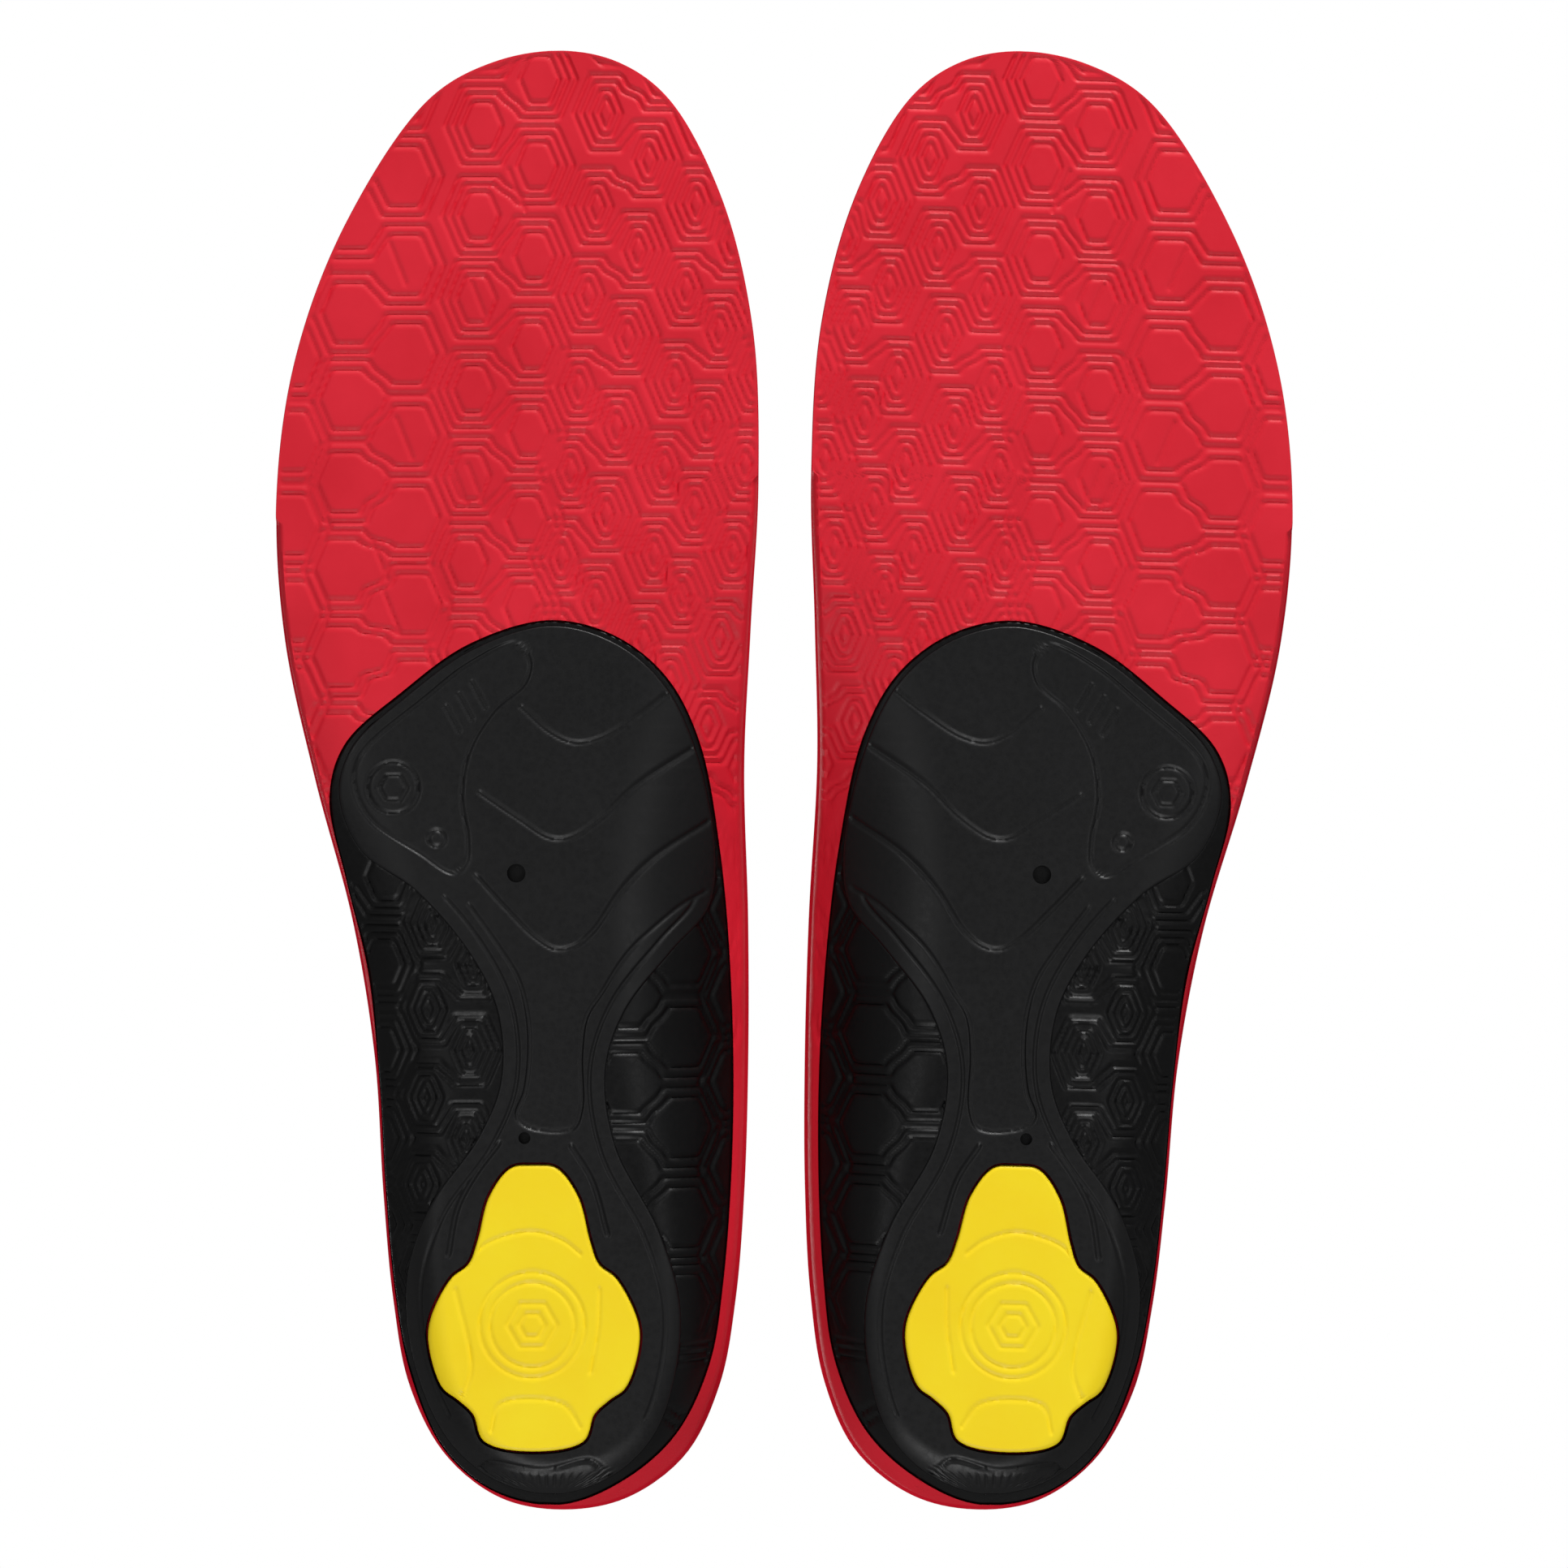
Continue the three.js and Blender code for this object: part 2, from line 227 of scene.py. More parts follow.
def shell(name, outline, ys, columns, under, top, rings, mask=None, pattern=None):
    """A closed piece between two surfaces. columns are the numbers of columns below and above,
    and rings the (share of the height, inset) steps that its side takes from bottom to top."""
    points, grids = [], []
    count = 0

    def add(x, y, z):
        nonlocal count
        points.append(np.stack([x.ravel(), y.ravel(), z.ravel()], 1))
        index = np.arange(count, count + x.size).reshape(x.shape)
        count += x.size
        return index

    def edges(inset):
        depth = [inset(ys, side) if callable(inset) else inset for side in (0, 1)]
        return outline.edge(0, ys, depth[0]), outline.edge(1, ys, depth[1])

    def surface(inset, number, height):
        a, b = edges(inset)
        u = np.linspace(0, 1, number)[None, :]
        x = a[:, :1] * (1 - u) + b[:, :1] * u
        y = a[:, 1:] * (1 - u) + b[:, 1:] * u
        return add(x, y, height(x, y))

    below = surface(rings[0][1], columns[0], under)
    above = surface(rings[-1][1], columns[1], top)
    grids += [(below, True), (above, False)]
    for side in (0, 1):
        column = 0 if side == 0 else -1
        strip = [below[:, column]]
        for share, inset in rings[1:-1]:
            xy = edges(inset)[side]
            x, y = xy[:, 0], xy[:, 1]
            strip.append(add(x, y, under(x, y) * (1 - share) + top(x, y) * share))
        strip.append(above[:, column])
        grids.append((np.stack(strip, 1), side == 1))
    faces = []
    for g, flip in grids:
        quad = np.stack([g[:-1, :-1], g[:-1, 1:], g[1:, 1:], g[1:, :-1]], -1).reshape(-1, 4)
        faces.append(quad[:, ::-1] if flip else quad)
    every = np.vstack(points)
    relief = np.zeros(count)
    relief[below[:, 1:-1]] = 1
    if mask:
        relief *= mask(every[:, 0], every[:, 1])
    patterned = pattern(every[:, 0], every[:, 1]) if pattern else np.ones(count)
    mesh = bpy.data.meshes.new(name)
    mesh.from_pydata(np.vstack(points) * MM, [], np.vstack(faces).tolist())
    for key, values in (("relief", relief), ("patterned", patterned)):
        mesh.attributes.new(key, "FLOAT", "POINT").data.foreach_set("value", values)
    return cleaned(mesh)


def cleaned(mesh):
    """Closes the ends, where the rows of both sides meet, and turns every face outwards."""
    work = bmesh.new()
    work.from_mesh(mesh)
    bmesh.ops.remove_doubles(work, verts=work.verts, dist=2e-6)
    bmesh.ops.dissolve_degenerate(work, edges=work.edges, dist=1e-7)
    bmesh.ops.recalc_face_normals(work, faces=work.faces)
    if work.calc_volume(signed=True) < 0:
        bmesh.ops.reverse_faces(work, faces=work.faces)
    work.to_mesh(mesh)
    work.free()
    return mesh


def evaluated(mesh, *steps):
    """The mesh after some modifiers. Each step is a function that adds one to an object."""
    source = bpy.data.objects.new("work", mesh)
    bpy.context.scene.collection.objects.link(source)
    for step in steps:
        step(source)
    bpy.context.view_layer.update()
    graph = bpy.context.evaluated_depsgraph_get()
    result = bpy.data.meshes.new_from_object(source.evaluated_get(graph))
    bpy.data.objects.remove(source)
    return result


# ---- Geometry Nodes ----------------------------------------------------------------------------

CELL_SLANT = math.radians(23)  # a hexagon's slanted sides, off the upright
TURN_WIDTH = 0.84  # the share of the columns' distance over which one gives way to the other


class Tree:
    """A small writer for node trees: maths on sockets, with the values given in the call."""

    def __init__(self, kind, name):
        self.tree = bpy.data.node_groups.new(name, kind)
        self.nodes, self.links = self.tree.nodes, self.tree.links
        self.inside = self.nodes.new("NodeGroupInput")
        self.outside = self.nodes.new("NodeGroupOutput")

    def socket(self, name, kind, direction="INPUT", value=None):
        made = self.tree.interface.new_socket(name, in_out=direction, socket_type=kind)
        if value is not None:
            made.default_value = value
        return made

    def put(self, node, key, value):
        if isinstance(value, bpy.types.NodeSocket):
            self.links.new(value, node.inputs[key])
        else:
            node.inputs[key].default_value = value

    def node(self, kind, inputs=None, **settings):
        made = self.nodes.new(kind)
        for key, value in settings.items():
            setattr(made, key, value)
        for key, value in (inputs or {}).items():
            self.put(made, key, value)
        return made

    def math(self, operation, *values):
        made = self.nodes.new("ShaderNodeMath")
        made.operation = operation
        for i, value in enumerate(values):
            self.put(made, i, value)
        return made.outputs[0]

    def given(self, name):
        return self.inside.outputs[name]


def relief_tree(name):
    """A tree that is given a surface and its material, and gives the surface back."""
    tree = Tree("GeometryNodeTree", name)
    tree.socket("Geometry", "NodeSocketGeometry")
    tree.socket("Geometry", "NodeSocketGeometry", "OUTPUT")
    tree.socket("Material", "NodeSocketMaterial")
    return tree


def ended(tree, geometry):
    """The finished tree, which ends with plain geometry in its material."""
    whole = tree.node("GeometryNodeRealizeInstances", {"Geometry": geometry})
    made = tree.node("GeometryNodeSetMaterial", {
        "Geometry": whole.outputs["Geometry"], "Material": tree.given("Material")})
    tree.links.new(made.outputs["Geometry"], tree.outside.inputs["Geometry"])
    return tree.tree


def field(tree, name):
    """A named float attribute as a field."""
    return tree.node("GeometryNodeInputNamedAttribute", {"Name": name},
                     data_type="FLOAT").outputs["Attribute"]


def stored(tree, geometry, name, value):
    """The geometry with a value kept on its points under a name."""
    made = tree.node("GeometryNodeStoreNamedAttribute", {
        "Geometry": geometry, "Name": name, "Value": value}, data_type="FLOAT")
    return made.outputs["Geometry"]


def grooved(tree, geometry, off_centre, part=1.0):
    """The tree that keeps a rounded groove's depth on the points where it is the deepest."""
    share = tree.math("MINIMUM", tree.math("DIVIDE", off_centre, tree.given("Width")), 1.0)
    wave = tree.math("COSINE", tree.math("MULTIPLY", share, math.pi))
    profile = tree.math("ADD", tree.math("MULTIPLY", wave, 0.5), 0.5)
    depth = tree.math("MULTIPLY", tree.math("MULTIPLY", profile, part), tree.given("Depth"))
    deepest = tree.math("MAXIMUM", field(tree, "sunk"), depth)
    return ended(tree, stored(tree, geometry, "sunk", deepest))


def press_tree():
    """Moves the surface inwards by the depth kept on its points."""
    tree = relief_tree("press")
    amount = tree.math("MULTIPLY", field(tree, "sunk"), field(tree, "relief"))
    normal = tree.node("GeometryNodeInputNormal").outputs["Normal"]
    offset = tree.node("ShaderNodeVectorMath", {
        0: normal, "Scale": tree.math("MULTIPLY", amount, -1.0)}, operation="SCALE")
    moved = tree.node("GeometryNodeSetPosition", {
        "Geometry": tree.given("Geometry"), "Offset": offset.outputs["Vector"]})
    return ended(tree, moved.outputs["Geometry"])


def hexagon_tree():
    """Two parallel grooves that wind between two columns of hexagonal cells. They close round
    the first column's cells on its far side and round the second column's on the other, so that
    the first column's cells open towards the second and the other way about. Inside each cell
    there can be closed rings."""
    tree = relief_tree("hexagon relief")
    tree.socket("Cells", "NodeSocketObject")
    tree.socket("Rings", "NodeSocketFloat", value=0.0)
    tree.socket("Spacing", "NodeSocketFloat", value=0.00175)
    tree.socket("Reach", "NodeSocketFloat", value=0.0057)
    tree.socket("Longer", "NodeSocketFloat", value=0.0007)
    tree.socket("First", "NodeSocketFloat", value=0.08)
    tree.socket("Second", "NodeSocketFloat", value=0.07)
    tree.socket("Lean", "NodeSocketFloat", value=0.0)
    tree.socket("Depth", "NodeSocketFloat", value=0.0004)
    tree.socket("Width", "NodeSocketFloat", value=0.00065)
    tree.socket("Rounding", "NodeSocketFloat", value=0.0012)
    tree.socket("Slant", "NodeSocketFloat", value=CELL_SLANT)

    cells = tree.node("GeometryNodeObjectInfo", {"Object": tree.given("Cells")}).outputs["Geometry"]
    size = tree.node("GeometryNodeAttributeDomainSize", {"Geometry": cells})
    geometry = tree.given("Geometry")
    for name in ("near_first", "near_second", "level_first", "level_second"):
        geometry = stored(tree, geometry, name, 1.0)
    opened = tree.node("GeometryNodeRepeatInput")
    closed = tree.node("GeometryNodeRepeatOutput")
    opened.pair_with_output(closed)
    tree.put(opened, "Iterations", size.outputs["Point Count"])
    tree.links.new(geometry, opened.inputs["Geometry"])

    def of_cell(value, kind="FLOAT"):
        made = tree.node("GeometryNodeSampleIndex", {
            "Geometry": cells, "Index": opened.outputs["Iteration"]}, data_type=kind)
        tree.put(made, "Value", value)
        return made.outputs["Value"]

    here = tree.node("GeometryNodeInputPosition").outputs["Position"]
    place = of_cell(here, "FLOAT_VECTOR")
    away = tree.node("ShaderNodeVectorMath", {0: here, 1: place}, operation="SUBTRACT")
    parts = tree.node("ShaderNodeSeparateXYZ", {0: away.outputs["Vector"]})
    across = tree.math("ABSOLUTE", parts.outputs["X"])
    along = tree.math("ABSOLUTE", parts.outputs["Y"])
    slanted = tree.math("ADD", tree.math("MULTIPLY", across, tree.math("COSINE", tree.given("Slant"))),
                        tree.math("MULTIPLY", along, tree.math("SINE", tree.given("Slant"))))
    flat = tree.math("SUBTRACT", along, tree.given("Longer"))
    far = tree.math("SMOOTH_MAX", slanted, flat, tree.given("Rounding"))
    column = of_cell(field(tree, "column"))
    inner = opened.outputs["Geometry"]
    for name, other in (("first", column), ("second", tree.math("SUBTRACT", 1.0, column))):
        for kept, value in (("near_", far), ("level_", along)):
            lowest = tree.math("MINIMUM", field(tree, kept + name), tree.math("ADD", value, other))
            inner = stored(tree, inner, kept + name, lowest)
    tree.links.new(inner, closed.inputs["Geometry"])

    in_first = tree.math("SUBTRACT", tree.given("Reach"), field(tree, "near_first"))
    past_second = tree.math("SUBTRACT", field(tree, "near_second"), tree.given("Reach"))
    where = tree.node("ShaderNodeSeparateXYZ", {0: here})
    levels_off = tree.math("ADD", field(tree, "level_first"), field(tree, "level_second"))
    share = tree.math("DIVIDE", field(tree, "level_first"), levels_off)
    apart = tree.math("SUBTRACT", tree.given("Second"), tree.given("First"))
    border = tree.math("ADD", tree.given("First"), tree.math("MULTIPLY", share, apart))
    border = tree.math("ADD", border, tree.math("MULTIPLY", tree.given("Lean"), where.outputs["Y"]))
    past_border = tree.math("SUBTRACT", border, where.outputs["X"])
    turn = tree.math("MULTIPLY", apart, -TURN_WIDTH)
    turned = tree.math("ADD", tree.math("DIVIDE", past_border, turn), 0.5)
    turned = tree.math("MINIMUM", tree.math("MAXIMUM", turned, 0.0), 1.0)
    wave = tree.math("COSINE", tree.math("MULTIPLY", turned, math.pi))
    share = tree.math("SUBTRACT", 0.5, tree.math("MULTIPLY", wave, 0.5))
    change = tree.math("MULTIPLY", tree.math("SUBTRACT", past_second, in_first), share)
    side = tree.math("ADD", in_first, change)

    spacing = tree.given("Spacing")
    half = tree.math("MULTIPLY", spacing, 0.5)
    from_middle = tree.math("SUBTRACT", tree.math("ABSOLUTE", side), half)
    winding = tree.math("ABSOLUTE", from_middle)

    nearest_cell = tree.math("MINIMUM", field(tree, "near_first"), field(tree, "near_second"))
    inwards = tree.math("SUBTRACT", tree.given("Reach"), nearest_cell)
    count = tree.math("SUBTRACT", tree.math("DIVIDE", inwards, spacing), 0.5)
    ring = tree.math("MINIMUM", tree.math("MAXIMUM", tree.math("ROUND", count), 1.0),
                     tree.given("Rings"))
    from_ring = tree.math("ABSOLUTE", tree.math("SUBTRACT", count, ring))
    off_ring = tree.math("MULTIPLY", from_ring, spacing)
    none = tree.math("LESS_THAN", tree.given("Rings"), 0.5)
    closest = tree.math("MINIMUM", winding, tree.math("ADD", off_ring, none))
    return grooved(tree, closed.outputs["Geometry"], closest, field(tree, "patterned"))


def line_tree():
    """A rounded groove along lines drawn in plan."""
    tree = relief_tree("line relief")
    tree.socket("Lines", "NodeSocketObject")
    tree.socket("Depth", "NodeSocketFloat", value=0.0004)
    tree.socket("Width", "NodeSocketFloat", value=0.0006)
    lines = tree.node("GeometryNodeObjectInfo", {"Object": tree.given("Lines")}).outputs["Geometry"]
    here = tree.node("GeometryNodeInputPosition").outputs["Position"]
    flat = tree.node("ShaderNodeVectorMath", {0: here, 1: (1.0, 1.0, 0.0)}, operation="MULTIPLY")
    near = tree.node("GeometryNodeProximity", target_element="EDGES")
    tree.put(near, 0, lines)
    tree.put(near, "Sample Position", flat.outputs["Vector"])
    return grooved(tree, tree.given("Geometry"), near.outputs["Distance"])


def node_step(tree, **values):
    """A step for evaluated(): the tree as a modifier, with its named inputs set."""
    def add(obj):
        modifier = obj.modifiers.new(tree.name, "NODES")
        modifier.node_group = tree
        for item in tree.interface.items_tree:
            key = item.name.lower()
            if item.in_out == "INPUT" and key in values:
                modifier[item.identifier] = values[key]
    return add


def cutter_step(cutter):
    def add(obj):
        modifier = obj.modifiers.new("cut", "BOOLEAN")
        modifier.operation = "DIFFERENCE"
        modifier.solver = "MANIFOLD"
        modifier.object = cutter
    return add


HEXAGONS = hexagon_tree()
LINES = line_tree()
PRESS = press_tree()
helpers = []


def helper(name, mesh):
    """An object that a modifier reads. It is removed once every piece is made."""
    made = bpy.data.objects.new(name, mesh)
    bpy.context.scene.collection.objects.link(made)
    helpers.append(made)
    return made


def lines_object(name, *lines):
    """Lines of points in plan, as edges on the ground."""
    points, edges = [], []
    for line in lines:
        first = len(points)
        points += [(x * MM, y * MM, 0) for x, y in line]
        edges += [(i, i + 1) for i in range(first, len(points) - 1)]
    mesh = bpy.data.meshes.new(name)
    mesh.from_pydata(points, edges, [])
    return helper(name, mesh)


def lines_step(name, lines, depth, width, material):
    """A step that draws lines as rounded grooves, with the depth and width in millimetres."""
    return node_step(LINES, lines=lines_object(name, *lines), depth=depth * MM, width=width * MM,
                     material=material)


def curve_line(points, closed=False):
    line = catmull(points, closed, steps=12)
    return np.vstack([line, line[:1]]) if closed else line


def prism_object(name, loop, low=-4, high=30):
    """An upright cutter over a closed loop."""
    n = len(loop)
    points = [(x * MM, y * MM, z * MM) for z in (low, high) for x, y in loop]
    faces = [list(range(n))[::-1], list(range(n, 2 * n))]
    faces += [[i, (i + 1) % n, n + (i + 1) % n, n + i] for i in range(n)]
    mesh = bpy.data.meshes.new(name)
    mesh.from_pydata(points, [], faces)
    made = helper(name, cleaned(mesh))
    made.hide_render = True
    return made


def cutter_object(name, outline, growth, top):
    """A cutter a little wider than an outline, from below the ground up to a level above it."""
    ys = levels(outline, [(-140, 140, 1.0)])
    rings = [(0, -growth), (1, -growth)]

    def low(x, y):
        return cup(x, y) - 6

    def high(x, y):
        return cup(x, y) + top

    return helper(name, shell(name, outline, ys, (60, 60), low, high, rings))


def grown(loop, distance):
    along = np.roll(loop, -1, 0) - np.roll(loop, 1, 0)
    along /= np.linalg.norm(along, axis=1)[:, None]
    area = np.sum(loop[:, 0] * np.roll(loop[:, 1], -1) - np.roll(loop[:, 0], -1) * loop[:, 1])
    side = 1 if area > 0 else -1
    return loop + side * distance * np.stack([along[:, 1], -along[:, 0]], 1)


# ---- Hexagon cells -----------------------------------------------------------------------------

CELL_PITCH = 16.0
CELL_DEPTH, CELL_WIDTH, CELL_ROUNDING = 0.42, 0.64, 1.1

# Pairs of columns, each pair from outside inwards: the number of closed rings inside a cell, the
# grooves' spacing, the reach of the outermost, the extra length along y, and for both columns
# x at y = 80, the lean and the places along y. The columns go on at the cells' pitch.
FOREFOOT_PAIRS = [
    (0, 1.75, 6.6, 0.7, (101, 0, (86.3, 70.4)), (91, 0, (94.5, 78.4, 62.8, 47.5))),
    (0, 1.75, 6.6, 0.7, (80.3, -0.03, (103.7, 86.3, 70.4, 55.2)),
     (69.6, 0.02, (111.5, 95.2, 78.9, 63.8, 48.9))),
    (1, 1.45, 6.3, 0.9, (57.2, -0.035, (120.9, 104.3, 88.9, 72.4, 56.4)),
     (46.7, -0.03, (129.4, 113.5, 96.9, 80.3, 64.4))),
    (2, 1.42, 5.5, 1.5, (37.3, -0.1, (123.2, 106, 89.8, 72.9, 57.5)),
     (29.3, -0.12, (114.6, 98, 82.1, 65.5))),
    (2, 1.4, 5.4, 1.5, (19.6, -0.12, (106.6, 90.9, 74.1, 58.1)),
     (12.6, -0.14, (99.4, 83.2, 66.6))),
    (2, 1.4, 5.3, 1.5, (4.4, -0.14, (91.3, 75, 58.6)), (-3.4, -0.14, (83.2, 66.6))),
]
# The same for the cradle's flanks, with x at y = -50.
FLANK_PAIRS = [
    (1, 1.45, 6.4, 0.7, (84, -0.04, (-25.8, -41.6, -57.9)), (74.8, -0.04, (-33.3, -49.2, -65.5))),
    (3, 1.2, 5.3, 1.2, (66.0, -0.04, (-25.8, -41.6, -57.9, -73.9)),
     (58.1, -0.04, (-33.3, -49.2, -65.5))),
    (0, 1.75, 6.6, 0.7, (29.4, 0, (-39.5, -55.3, -71.2)), (18.6, 0, (-31.6, -47, -63.6, -80.1))),
    (0, 1.75, 6.6, 0.7, (8.6, 0, (-39.5, -55.3, -71.2)), (-2, 0, (-31.6, -47, -63.6))),
]


def cells_object(name, columns, level, low, high):
    """One point for each hexagon, with the column it belongs to as an attribute."""
    points, column = [], []
    for number, (x, lean, known) in enumerate(columns):
        ahead = np.arange(known[0] + CELL_PITCH, high, CELL_PITCH)
        behind = np.arange(known[-1] - CELL_PITCH, low, -CELL_PITCH)
        for y in (*ahead, *known, *behind):
            points.append(((x + lean * (y - level)) * MM, y * MM, 0))
            column.append(number)
    mesh = bpy.data.meshes.new(name)
    mesh.from_pydata(points, [], [])
    mesh.attributes.new("column", "FLOAT", "POINT").data.foreach_set("value", column)
    return helper(name, mesh)


def hexagon_steps(name, material, pairs, level, low, high):
    """One step of relief for each pair of columns."""
    steps = []
    for rings, spacing, outer, longer, first, second in pairs:
        lean = (first[1] + second[1]) / 2
        starts = [(column[0] - lean * level) * MM for column in (first, second)]
        steps.append(node_step(
            HEXAGONS, cells=cells_object(name, (first, second), level, low, high),
            material=material, rings=float(rings), spacing=spacing * MM, longer=longer * MM, lean=lean,
            reach=(outer - spacing / 2) * MM, first=starts[0], second=starts[1],
            depth=CELL_DEPTH * MM, rounding=CELL_ROUNDING * MM, width=CELL_WIDTH * MM))
    return steps


# ---- Lines drawn in the pieces -----------------------------------------------------------------

# Slashes inside cells: x, y and how many
SLASHES = [(71.3, 95.5, 1), (70.1, 63.4, 1), (58.5, 54.9, 2), (74.6, 41, 1), (72.4, 31.3, 1),
           (49.4, 109.1, 1), (56.3, 88.5, 1), (17.2, 34.3, 2)]
FLEX_LINES = [
    [(21.1, 16.8), (27.4, 12.2), (34.2, 8.2), (38.8, 7.4), (43.4, 9.4), (48.5, 13.9)],
    [(16.8, 6.5), (27.4, -0.4), (34.2, -6.6), (39.9, -10.1), (43.4, -10.1), (49.1, -6.6),
     (56.2, -1.8)],
    [(14.2, -7.2), (23.9, -13.5), (30.2, -19.8), (35.4, -27.2), (38.8, -30), (42.2, -30.6),
     (46.2, -28.3), (51.3, -23.2), (56.8, -17.2)],
    [(52.7, -66.3), (57, -72), (60.3, -78.2), (62, -86.8)],
    [(39.4, -66.8), (35.6, -73), (32.7, -83)],
    [(56.4, -127.1), (55.3, -125.3), (44.5, -126.4), (35.9, -124.6), (33.1, -127.1),
     (31, -129)],
]
WAIST_PANEL = [(58.2, -22.4), (52.5, -30.4), (49.1, -36.1), (47.4, -43), (47.1, -49.8),
               (47.9, -56.7), (49.4, -61.2), (47.2, -63.4), (39.2, -63.6), (37.6, -60.1),
               (37.6, -49.8), (36.6, -43), (33.6, -38.3), (30.7, -33.6), (27.9, -30.1),
               (24.2, -26.7), (19.3, -22.7), (14.8, -20.1)]
WING_WINDOW = [(47.1, 22.5), (49.6, 25.6), (58.2, 21.9), (66.2, 15.7), (77.6, 6), (79.4, 1.9),
               (78.8, -2.6), (75.9, -7.2), (67.3, -12.9), (61.1, -16.6), (58.8, -14.6),
               (58.5, -10.1), (59.6, -2.6), (58.2, 5.9), (53.6, 13.4), (47.9, 18.5)]
PAD_LINES = [
    [(57.8, -87.3), (54.6, -84.5), (46.7, -82.5), (41, -84.1), (37.7, -86.6)],
    [(60.7, -93.1), (57.8, -107.8), (59.9, -113.5)],
    [(34.2, -93.1), (34.5, -100.6), (35.9, -108.5)],
    [(54.2, -119.2), (52.4, -114.2), (41, -114.2), (37.7, -118.5)],
]
HEEL_RIDGES = [[(19.4, -103.9), (13, -103.6)], [(19.4, -105.4), (13, -105.1)],
               [(19.6, -106.9), (13, -106.6)], [(24.5, -114.2), (21, -115.4), (17.6, -118.2)],
               [(25.4, -115.8), (22, -117.2), (18.8, -120)]]


def slashes():
    """Lines across some cells, a little off the upright."""
    lines = []
    for x, y, count in SLASHES:
        for i in range(count):
            middle = x + 3 * (i - (count - 1) / 2)
            lines.append([(middle + 1.5, y + 3.8), (middle - 1.5, y - 3.8)])
    return lines


# ---- Shader groups and materials ---------------------------------------------------------------

def grain_group():
    """The skin of moulded foam: fine pores and a slow unevenness."""
    tree = Tree("ShaderNodeTree", "moulded grain")
    tree.socket("Fine", "NodeSocketFloat", value=2600.0)
    tree.socket("Slow", "NodeSocketFloat", value=45.0)
    tree.socket("Height", "NodeSocketFloat", "OUTPUT")
    tree.socket("Shade", "NodeSocketFloat", "OUTPUT")
    where = tree.node("ShaderNodeTexCoord").outputs["Object"]
    fine = tree.node("ShaderNodeTexNoise", {"Vector": where, "Scale": tree.given("Fine"), "Detail": 3.0})
    slow = tree.node("ShaderNodeTexNoise", {"Vector": where, "Scale": tree.given("Slow"), "Detail": 4.0})
    coarse = tree.math("MULTIPLY", tree.given("Fine"), 0.35)
    pores = tree.node("ShaderNodeTexVoronoi", {"Vector": where, "Scale": coarse})
    height = tree.math("ADD", tree.math("MULTIPLY", fine.outputs["Fac"], 0.6),
                       tree.math("MULTIPLY", pores.outputs["Distance"], 0.4))
    tree.links.new(height, tree.outside.inputs["Height"])
    tree.links.new(slow.outputs["Fac"], tree.outside.inputs["Shade"])
    return tree.tree


def weave_group():
    """A fine knit: rows of loops along y, with a slow cloudiness in its shade."""
    tree = Tree("ShaderNodeTree", "fine knit")
    tree.socket("Loops", "NodeSocketFloat", value=900.0)
    tree.socket("Height", "NodeSocketFloat", "OUTPUT")
    tree.socket("Shade", "NodeSocketFloat", "OUTPUT")
    where = tree.node("ShaderNodeTexCoord").outputs["Object"]
    parts = tree.node("ShaderNodeSeparateXYZ", {0: where})
    u = tree.math("MULTIPLY", parts.outputs["X"], tree.given("Loops"))
    v = tree.math("MULTIPLY", parts.outputs["Y"], tree.given("Loops"))
    slant = tree.math("MULTIPLY", tree.math("PINGPONG", u, 0.5), 1.6)
    rows = tree.math("SINE", tree.math("MULTIPLY", tree.math("ADD", v, slant), 2 * math.pi))
    wale = tree.math("FRACT", tree.math("MULTIPLY", u, 2.0))
    wales = tree.math("SINE", tree.math("MULTIPLY", wale, math.pi))
    height = tree.math("MULTIPLY", tree.math("ADD", tree.math("MULTIPLY", rows, 0.5), 0.5), wales)
    tree.links.new(height, tree.outside.inputs["Height"])
    cloud = tree.node("ShaderNodeTexNoise", {"Vector": where, "Scale": 1500.0, "Detail": 2.0})
    tree.links.new(cloud.outputs["Fac"], tree.outside.inputs["Shade"])
    return tree.tree


GRAIN = grain_group()
KNIT = weave_group()


